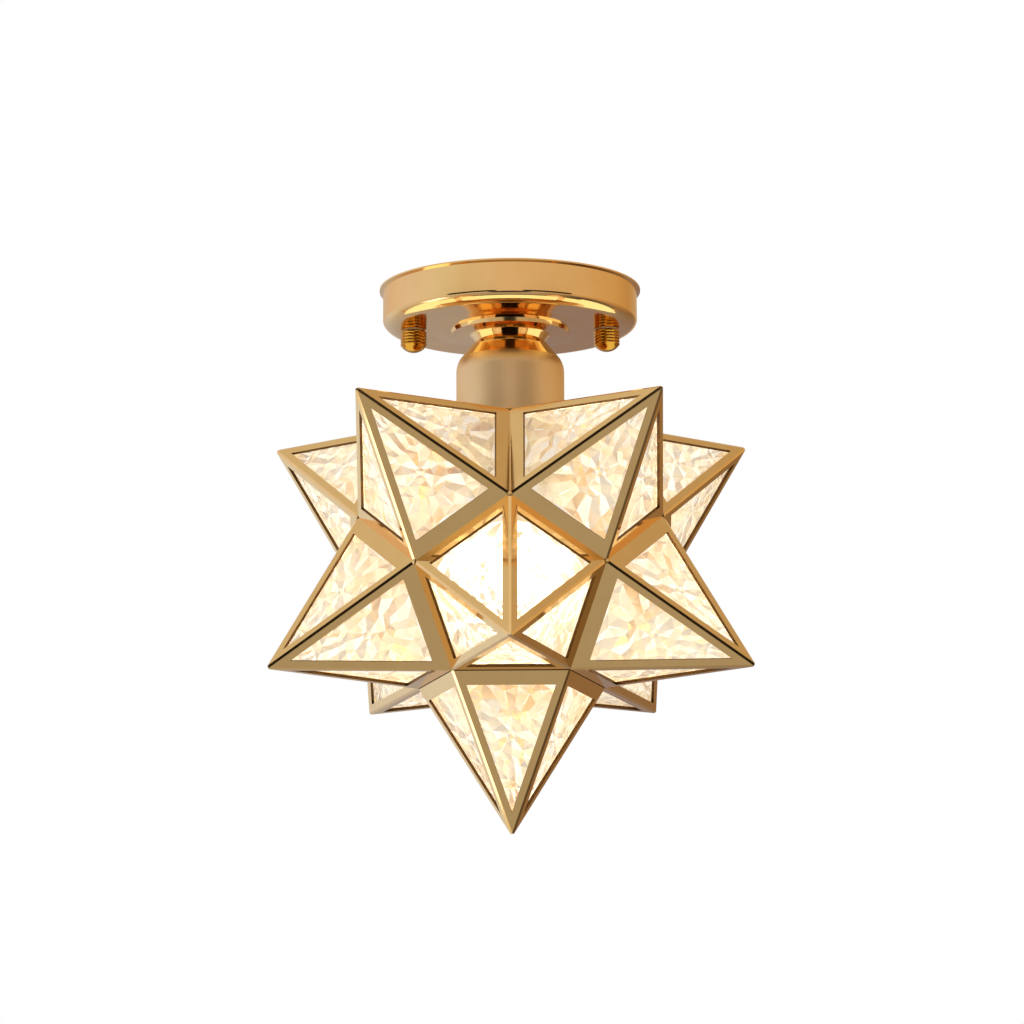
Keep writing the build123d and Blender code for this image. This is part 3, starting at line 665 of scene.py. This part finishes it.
beads = add_node(bead_tree, "GeometryNodeInstanceOnPoints", {
    "Points": sunk.outputs[0], "Instance": smooth.outputs[0], "Rotation": lean.outputs[0], "Scale": BEAD_SHAPE,
})
end_tree(bead_tree, given, beads.outputs[0])
solder = plain_from_tree("solder_beads", corner_mesh, bead_tree, {
    "Radius": BEAD_RADIUS, "Sink": BEAD_SINK, "Place": tuple(STAR_CENTRE), "Finish": gold_polished,
})
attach(solder, "fixture")
print("faces of the beads:", len(solder.data.polygons))

# %% [markdown]
# ## Turned pieces
# The canopy, the two collars and the cap nuts are turned: one profile carried round an upright axis. The CAD
# mesh goes round in few steps, and a mirror finish shows each of them, so the profiles of the solids, with two
# small details bettered, are carried round again in fine ones. A Screw modifier could do it. Geometry Nodes
# keep the steps, the angle that counts as an edge, the place and the finish as named inputs which all these
# pieces share.

# %% Tree that turns a profile
AXIS_RADIUS, SEAM = 1e-6, 0.01 * MM
turning_tree, given = start_tree("turned_piece", {"Profile": "Geometry", "Steps": "Int", "Edge Angle": "Float"})
way_round = add_node(turning_tree, "GeometryNodeCurvePrimitiveCircle", {
    "Resolution": given["Steps"], "Radius": AXIS_RADIUS,
})
outline = add_node(turning_tree, "GeometryNodeMeshToCurve", {"Mesh": given["Profile"]})
wall = add_node(turning_tree, "GeometryNodeCurveToMesh", {
    "Curve": way_round.outputs[0], "Profile Curve": outline.outputs[0],
})
closed = add_node(turning_tree, "GeometryNodeMergeByDistance", {"Geometry": wall.outputs[0], "Distance": SEAM})
bends = add_node(turning_tree, "GeometryNodeInputMeshEdgeAngle").outputs["Unsigned Angle"]
sharp = add_node(turning_tree, "FunctionNodeCompare", {0: bends, 1: given["Edge Angle"]},
                 operation="GREATER_THAN")
smooth = add_node(turning_tree, "GeometryNodeSetShadeSmooth", {"Geometry": closed.outputs[0]})
edged = add_node(turning_tree, "GeometryNodeSetShadeSmooth", {
    "Geometry": smooth.outputs[0], "Selection": sharp.outputs[0], "Shade Smooth": False,
}, domain="EDGE")
end_tree(turning_tree, given, edged.outputs[0])
print("made", turning_tree.name)

# %% Helpers for profiles
TURNING_STEPS, EDGE_ANGLE = 192, radians(20)


def bend(start, end, lean, count=16):
    """Points after start on the arc to end, which leaves start at this lean from upright, in degrees."""
    start, chord = Vector(start), Vector(end) - Vector(start)
    aside = Vector((cos(radians(lean)), -sin(radians(lean))))
    radius = chord.length_squared / (2 * chord.dot(aside))
    middle = start + aside * radius
    whole = 2 * asin(chord.length / (2 * radius))
    turns = [Matrix.Rotation(-whole * (number + 1) / count, 2) for number in range(count)]
    return [tuple(middle + turn @ (start - middle)) for turn in turns]


def turned_piece(node, outline, body, finish, place=(0.0, 0.0, 0.0)):
    """A piece turned from an outline of radius and height in millimetres; it stands for a CAD node."""
    # The circle lays a profile's Y axis downwards, and running it backwards makes the faces point out.
    places = [(radius * MM, -height * MM, 0) for radius, height in reversed(outline)]
    ends_on_axis = outline[-1][0] == 0
    lines = [(number, (number + 1) % len(places)) for number in range(len(places) - ends_on_axis)]
    profile = bpy.data.meshes.new(node + "_profile")
    profile.from_pydata(places, lines, [])
    piece = plain_from_tree(node + "_turned", profile, turning_tree, {
        "Steps": TURNING_STEPS, "Edge Angle": EDGE_ANGLE, "Place": place, "Finish": finish,
    })
    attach(piece, body)
    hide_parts(node)
    return piece


print("a turned piece has", TURNING_STEPS, "steps")

# %% [markdown]
# The trumpet collar leans out from the waist and ends in a flat brim with a leaning rim, against the canopy.
# Its flank is straighter and its rim taller than in the solids, as on the real one. The cone collar under it
# leaves a narrow ledge round the waist and runs down to the cup.

# %% Two collars
COLLAR_TOP, WAIST, CUP_TOP = -19.15, -25.55, -33.05
COLLAR_BORE, BRIM_RADIUS = 11.9, 27.4
flank_end, brim_start = (17.7, COLLAR_TOP - 2.6), (18.9, COLLAR_TOP - 1.9)
trumpet = turned_piece("canopy_collar", [
    (15.0, WAIST), flank_end, *bend(flank_end, brim_start, 35), (26.7, COLLAR_TOP - 1.7),
    (BRIM_RADIUS, COLLAR_TOP), (COLLAR_BORE, COLLAR_TOP), (COLLAR_BORE, WAIST),
], "fixture", gold_spun)
cone = turned_piece("cup_collar", [
    (COLLAR_BORE, CUP_TOP), (23.1, CUP_TOP), (17.0, WAIST), (COLLAR_BORE, WAIST),
], "fixture", gold_spun)
print("faces of the collars:", len(trumpet.data.polygons), len(cone.data.polygons))

# %% [markdown]
# The canopy is a spun dish with a lip on the ceiling, a corner that is a quarter of an ellipse, and a middle
# that swells down by less than half a millimetre to meet the collar. In the solids that swelling is a flat
# step, whose edge a mirror finish would draw as a bright ring that the real one does not show, so here it is a
# soft slope.

# %% Canopy
UNDERSIDE, SHEET = -18.75, 1.0
NIPPLE_HOLE, SLOPE_WIDTH, STEP_RADIUS = 5.3, 11.0, 36.0
CORNER_START, CORNER_WIDTH, CORNER_RISE = 50.5, 8.0, 4.5
LIP = ((58.5, -1.3), (60.1, -0.7), (60.1, 0.0), (57.5, 0.0))
swelling = UNDERSIDE - COLLAR_TOP
slope = [number / 16 for number in range(17)]
quarter = [radians(90 * number / 24) for number in range(25)]
canopy = turned_piece("canopy", [
    (NIPPLE_HOLE, COLLAR_TOP),
    *[(BRIM_RADIUS + SLOPE_WIDTH * u, COLLAR_TOP + swelling * (3 - 2 * u) * u * u) for u in slope],
    *[(CORNER_START + CORNER_WIDTH * sin(t), UNDERSIDE + CORNER_RISE - CORNER_RISE * cos(t)) for t in quarter],
    *LIP,
    *[(CORNER_START + (CORNER_WIDTH - SHEET) * cos(t),
       UNDERSIDE + CORNER_RISE - (CORNER_RISE - SHEET) * sin(t)) for t in quarter],
    (STEP_RADIUS, UNDERSIDE + SHEET), (STEP_RADIUS, COLLAR_TOP + SHEET), (NIPPLE_HOLE, COLLAR_TOP + SHEET),
], "fixture", gold_spun)
print("canopy before drilling:", len(canopy.data.polygons), "faces")

# %% [markdown]
# After turning, two holes let the studs through. A Boolean modifier drills them, and the edges that it leaves
# are marked sharp again by their angle.

# %% Holes for the studs
STUD = 44.45 * MM
HOLE_RADIUS, DRILL_LENGTH = 2.25 * MM, 8 * MM
drills = bmesh.new()
for side in (-1, 1):
    bmesh.ops.create_cone(drills, cap_ends=True, segments=48, radius1=HOLE_RADIUS, radius2=HOLE_RADIUS,
                          depth=DRILL_LENGTH, matrix=Matrix.Translation((side * STUD, 0, UNDERSIDE * MM)))
drill_mesh = bpy.data.meshes.new("drills")
drills.to_mesh(drill_mesh)
drills.free()
drill = add_object("drills", drill_mesh)
canopy.modifiers.new("stud_holes", "BOOLEAN").object = drill
drilled = evaluated_mesh(canopy)
canopy.modifiers.clear()
canopy.data = drilled
bpy.data.objects.remove(drill)
edges = bmesh.new()
edges.from_mesh(drilled)
for edge in edges.edges:
    edge.smooth = edge.calc_face_angle(0) < EDGE_ANGLE
edges.to_mesh(drilled)
edges.free()
print("canopy:", len(drilled.polygons), "faces")

# %% [markdown]
# The cap nuts have five rings round the band, a domed end and a blind bore for the stud. They turn and travel
# on their own, so each rides on its own body.

# %% Cap nuts
NUT_SEAT, NUT_RINGS, NUT_PITCH = -19.35, 5, 1.4
NUT_GROOVE, NUT_RADIUS, NUT_CHAMFER = 5.6, 6.0, 0.45
NUT_BORE, BORE_PAST_BAND, DOME_HEIGHT = 2.05, 0.6, 2.8
rings = []
for ring in range(NUT_RINGS):
    level = NUT_SEAT - ring * NUT_PITCH
    rings += [(NUT_GROOVE, level), (NUT_RADIUS, level - NUT_CHAMFER),
              (NUT_RADIUS, level - NUT_PITCH + NUT_CHAMFER)]
band_end = NUT_SEAT - NUT_RINGS * NUT_PITCH
dome_end = (0.0, band_end - DOME_HEIGHT)
nut_outline = [
    dome_end, *bend(dome_end, (NUT_GROOVE, band_end), 90), *reversed(rings), (NUT_BORE, NUT_SEAT),
    (NUT_BORE, band_end - BORE_PAST_BAND), (0.0, band_end - BORE_PAST_BAND),
]
for side, name in ((-1, "left"), (1, "right")):
    nut = turned_piece(name + "_cap_nut", nut_outline, name + "_nut", brass_nut, (side * STUD, 0.0, 0.0))
print("cap nut:", len(nut.data.polygons), "faces")

# %% [markdown]
# ## Finishes on the CAD pieces
# The other solids have the right shape already, so they only take their finish. A table says which finish
# covers which nodes; the points' frames are found by their names.

# %% Dress the CAD pieces
dressing = {
    gold_polished: [point + "_frame" for point in seats] + ["star_top_plate"],
    gold_satin: ["socket_cup", "hinge_fixed_leaf", "hinge_moving_leaf"],
    zinc: ["mounting_bracket", "bracket_studs", "stud_lock_nuts", "nipple", "nipple_nut", "nipple_lock_washer",
           "hinge_pin", "point_catch"],
    brass: ["earth_screw", "lampholder_terminals", "lampholder_screw_shell", "lampholder_centre_contact",
            "terminal_block_screws"],
    nickel: ["bulb_contact", "bulb_screw_cap"],
    aluminium: ["bulb_led_board"],
    phenolic: ["lampholder_cap", "lampholder_body", "shade_ring"],
    nylon: ["terminal_block"],
    natural_nylon: ["left_nut_washer", "right_nut_washer"],
    brown_lead: ["live_lead"],
    blue_lead: ["neutral_lead"],
    insulator: ["bulb_insulator"],
    housing: ["bulb_housing"],
    opal: ["bulb_dome"],
}
for finish, names in dressing.items():
    for name in names:
        nodes[name].material_slots[0].material = finish
dressed_nodes = [name for names in dressing.values() for name in names]
print("dressed", len(dressed_nodes), "nodes; made anew above:", [n for n in nodes if n not in dressed_nodes])

# %% [markdown]
# ## Studio
# White all round: for the camera, for mirrors and through clear glass the world is white, and soft light comes
# from it and from one large lamp at the upper left. Polished gold in a white room would be flat, because a
# mirror only shows its surroundings. So the light hangs in a tent of lit cloth that only reflections see: cool
# and bright on the left, warm on the right, grey behind and below. Two dark flags and the dark opening that the
# camera looks through draw the dark lines along the folds, and a strip of light the bright ones.

# %% World
world = bpy.data.worlds.new("white_studio")
bpy.context.scene.world = world
world.use_nodes = True
tree = world.node_tree
tree.nodes.clear()
rays = add_node(tree, "ShaderNodeLightPath").outputs
seen = add_node(tree, "ShaderNodeMath", {0: rays["Is Camera Ray"], 1: rays["Is Glossy Ray"]},
                operation="MAXIMUM")
clear = add_node(tree, "ShaderNodeMath", {0: seen.outputs[0], 1: rays["Is Transmission Ray"]},
                 operation="MAXIMUM")
strength = add_node(tree, "ShaderNodeMapRange", {"Value": clear.outputs[0], "To Min": 0.6, "To Max": 1.0})
white = add_node(tree, "ShaderNodeBackground", {
    "Color": srgb("#FFFFFF"), "Strength": strength.outputs["Result"],
})
add_node(tree, "ShaderNodeOutputWorld", {"Surface": white.outputs[0]})
print("world is white")

# %% Floor
FLOOR_LEVEL, FLOOR_RADIUS = -2.6, 9


def stage_object(name, finish, hidden_from, maker, **shape):
    """A mesh of the studio, hidden from some kinds of rays."""
    mesh = bmesh.new()
    maker(mesh, **shape)
    plain = bpy.data.meshes.new(name)
    mesh.to_mesh(plain)
    mesh.free()
    plain.materials.append(finish)
    thing = add_object(name, plain)
    for ray in hidden_from:
        setattr(thing, "visible_" + ray, False)
    return thing


floor_paint = moulding("pale_floor_paint", "#F4F3F0", "#EFEEEA", 0.6, 4.0)
stage_object("floor", floor_paint, ("glossy",), bmesh.ops.create_circle, cap_ends=True, radius=FLOOR_RADIUS,
             segments=96, matrix=Matrix.Translation((0, 0, FLOOR_LEVEL)))
print("floor at", FLOOR_LEVEL, "m")

# %% [markdown]
# The cloth of the tent has four bands, one above the other, and each changes its colour on the way round. An
# image of a studio would do the same, but four ramps by azimuth and three changes by height are enough here.

# %% Tent that reflections see
ALL_BUT_REFLECTIONS = ("camera", "diffuse", "transmission", "shadow", "volume_scatter")
TENT_RADIUS = 2.6
# From the lowest band to the highest: degrees from the front, towards +X, and the colour there.
TENT_BANDS = (
    ((-180, "#ACA8A4"), (-85, "#E4E0DA"), (-30, "#B2B0AF"), (30, "#B2B0AF"), (85, "#5C5148"), (180, "#ACA8A4")),
    ((-180, "#ACA6A5"), (-142, "#E6EEFA"), (-110, "#E6E8F1"), (-60, "#E8EDEE"), (0, "#E4D6CA"),
     (60, "#DEC49E"), (110, "#C8A478"), (142, "#94795A"), (180, "#998C8D")),
    ((-180, "#CCB89C"), (-130, "#EAE0D6"), (-104, "#EEEFFF"), (-60, "#E8EDEE"), (0, "#E7DACE"),
     (60, "#E1D0B9"), (110, "#DABC8E"), (134, "#CAA671"), (180, "#CCB89C")),
    ((-180, "#D8D4CE"), (-97, "#DAD6D0"), (0, "#E8E4DE"), (97, "#C6B49A"), (180, "#D8D4CE")),
)
# The sines of the elevations where one band starts and ends to give way to the next.
TENT_CHANGES = ((-0.55, -0.3), (-0.04, 0.1), (0.4, 0.7))
tent_cloth, tree = start_finish("lit_tent_cloth")
place = add_node(tree, "ShaderNodeTexCoord").outputs["Object"]
middle = add_node(tree, "ShaderNodeMapping", {"Vector": place, "Location": -STAR_CENTRE}).outputs[0]
ahead = add_node(tree, "ShaderNodeMapping", {"Vector": middle, "Rotation": (0, 0, radians(90))})
azimuth = add_node(tree, "ShaderNodeTexGradient", {"Vector": ahead.outputs[0]}, gradient_type="RADIAL")
level = add_node(tree, "ShaderNodeVectorMath", {0: middle}, operation="NORMALIZE")
height = add_node(tree, "ShaderNodeSeparateXYZ", {0: level.outputs[0]})
bands = [add_node(tree, "ShaderNodeValToRGB", {"Fac": azimuth.outputs["Fac"]},
                  stops=[(degrees / 360 + 0.5, code) for degrees, code in band]) for band in TENT_BANDS]
cloth = bands[0].outputs["Color"]
for (start, end), band in zip(TENT_CHANGES, bands[1:]):
    change = add_node(tree, "ShaderNodeMapRange", {
        "Value": height.outputs["Z"], "From Min": start, "From Max": end,
    })
    cloth = add_node(tree, "ShaderNodeMix", {
        SHARE: change.outputs["Result"], COLOUR_A: cloth, COLOUR_B: band.outputs["Color"],
    }, data_type="RGBA").outputs[MIXED]
glow = add_node(tree, "ShaderNodeEmission", {"Color": cloth, "Strength": 1.0})
add_node(tree, "ShaderNodeOutputMaterial", {"Surface": glow.outputs[0]})
tent = stage_object("tent", tent_cloth, ALL_BUT_REFLECTIONS, bmesh.ops.create_uvsphere, u_segments=64,
                    v_segments=32, radius=TENT_RADIUS, matrix=Matrix.Translation(STAR_CENTRE))
print("tent of", len(tent.data.polygons), "panels")

# %% Two dark flags and the opening
FLAG_ASIDE, FLAG_AHEAD, FLAG_LEVEL, FLAG_TURN = 0.27, -0.43, -0.039, radians(36)
FLAG_SIZE, OPENING_SIZE = (0.40, 0.202, 1, 1), (0.85, 0.6, 1, 1)
OPENING_PLACE = (0, -1.2, -0.5)
UPRIGHT = Matrix.Rotation(radians(90), 4, "X")


def flat_panel(name, finish, place, turn, size):
    """A panel of this size that only reflections see."""
    return stage_object(name, finish, ALL_BUT_REFLECTIONS, bmesh.ops.create_grid, x_segments=1, y_segments=1,
                        size=0.5, matrix=Matrix.Translation(place) @ turn @ Matrix.Diagonal(size))


flag_felt = moulding("dark_flag_felt", "#1E1812", "#15100C", 0.9, 1.0)
for side, name in ((-1, "flag_left"), (1, "flag_right")):
    flat_panel(name, flag_felt, (side * FLAG_ASIDE, FLAG_AHEAD, FLAG_LEVEL),
               Matrix.Rotation(side * FLAG_TURN, 4, "Z") @ UPRIGHT, FLAG_SIZE)
stage_object("camera_opening", flag_felt, ALL_BUT_REFLECTIONS, bmesh.ops.create_circle, cap_ends=True,
             segments=64, radius=0.5,
             matrix=Matrix.Translation(OPENING_PLACE) @ UPRIGHT @ Matrix.Diagonal(OPENING_SIZE))
print("flags beside the camera, and the dark opening that it looks through")

# %% A strip of light at the lower left
STRIP_PLACE, STRIP_SIZE = Vector((-0.94, -0.08, -0.87)), (0.5, 0.3, 1, 1)
strip_light, tree = start_finish("strip_of_light")
glow = add_node(tree, "ShaderNodeEmission", {"Color": srgb("#E8EEFF"), "Strength": 3.0})
add_node(tree, "ShaderNodeOutputMaterial", {"Surface": glow.outputs[0]})
strip_turn = (STAR_CENTRE - STRIP_PLACE).to_track_quat("Z", "Y").to_matrix().to_4x4()
flat_panel("strip", strip_light, STRIP_PLACE, strip_turn, STRIP_SIZE)
print("strip of light at", [round(value, 2) for value in STRIP_PLACE])

# %% [markdown]
# Seen from above, the lit panes are far brighter than white. The corner of the canopy looks straight down on
# them and shows three bright stretches, so three arcs of light hang just under it. Two more, lower down, light
# the flanks of the neck. Its middle looks down and forward and stays dark: a black card above the front of the
# star does that. All of them face up, so that the star below does not see them.

# %% Arcs of light and a black card
ARC_STEPS = 12


def arc_panels(mesh, spans, inner, outer, level):
    """Flat arcs round the neck that face up; spans are in degrees from the front, lengths in millimetres."""
    for first, last in spans:
        turns = [radians(first + (last - first) * step / ARC_STEPS) for step in range(ARC_STEPS + 1)]
        near, far = [[mesh.verts.new((radius * MM * sin(t), -radius * MM * cos(t), level * MM)) for t in turns]
                     for radius in (inner, outer)]
        for k in range(ARC_STEPS):
            mesh.faces.new((far[k], far[k + 1], near[k + 1], near[k]))


def one_sided_glow(name, code, strength):
    """A glow that only shows from the front of a panel."""
    finish, tree = start_finish(name)
    glow = add_node(tree, "ShaderNodeEmission", {"Color": srgb(code), "Strength": strength})
    nothing = add_node(tree, "ShaderNodeBsdfTransparent")
    behind = add_node(tree, "ShaderNodeNewGeometry").outputs["Backfacing"]
    both = add_node(tree, "ShaderNodeMixShader", {0: behind, 1: glow.outputs[0], 2: nothing.outputs[0]})
    add_node(tree, "ShaderNodeOutputMaterial", {"Surface": both.outputs[0]})
    return finish


arc_glow = one_sided_glow("arc_of_light", "#F4FFE2", 1.5)
black_card = one_sided_glow("black_card", "#0C0806", 1.0)
arcs = [
    stage_object("arcs_under_corner", arc_glow, ALL_BUT_REFLECTIONS, arc_panels,
                 spans=((-70, -32), (-28, 28), (32, 70)), inner=51, outer=61, level=-30),
    stage_object("arcs_beside_neck", arc_glow, ALL_BUT_REFLECTIONS, arc_panels,
                 spans=((-120, -58), (58, 120)), inner=48, outer=85, level=-62),
    stage_object("neck_card", black_card, ALL_BUT_REFLECTIONS, arc_panels,
                 spans=((-28, 28),), inner=32, outer=76, level=-62),
]
print("panels that face up:", sum(p.normal.z > 0 for arc in arcs for p in arc.data.polygons))

# %% Large soft lamp
KEY_PLACE, KEY_TARGET = Vector((-1.7, -1.6, 1.3)), Vector((0, 0, -0.12))
key_data = bpy.data.lights.new("key", "AREA")
key_data.size = 1.6
key_data.energy = 22
key = add_object("key", key_data)
key.location = KEY_PLACE
key.rotation_euler = (KEY_TARGET - KEY_PLACE).to_track_quat("-Z", "Y").to_euler()
key.visible_glossy = False
print("key lamp", key_data.energy, "W")

# %% [markdown]
# ## Camera
# The camera was fitted to the photograph from the corners of the star: a long lens, 2.2 m away, a little
# below the light and looking up at it. Its axes are built from elevation, roll and a small turn about the
# vertical.

# %% Camera
ELEVATION, ROLL, TURN = radians(-11.65), radians(-0.25), radians(0.30)
DISTANCE, LENS, SENSOR = 2.2361, 171.95, 36
AIM = Vector((0.53 * MM, 0, 20.5 * MM))  # from the middle of the star
back = Vector((0, -cos(ELEVATION), sin(ELEVATION)))
level = Vector((1, 0, 0))
rise = back.cross(level)
right = level * cos(ROLL) + rise * sin(ROLL)
up = rise * cos(ROLL) - level * sin(ROLL)
about = Matrix.Rotation(TURN, 3, "Z")
axes = about @ Matrix((right, up, back)).transposed()
camera_data = bpy.data.cameras.new("photo_camera")
camera_data.sensor_width = SENSOR
camera_data.lens = LENS
camera = add_object("photo_camera", camera_data)
camera.matrix_world = Matrix.Translation(STAR_CENTRE + about @ AIM + axes.col[2] * DISTANCE) @ axes.to_4x4()
bpy.context.scene.camera = camera
bpy.context.scene.view_settings.view_transform = "Standard"
print("camera at", [round(value, 3) for value in camera.location])
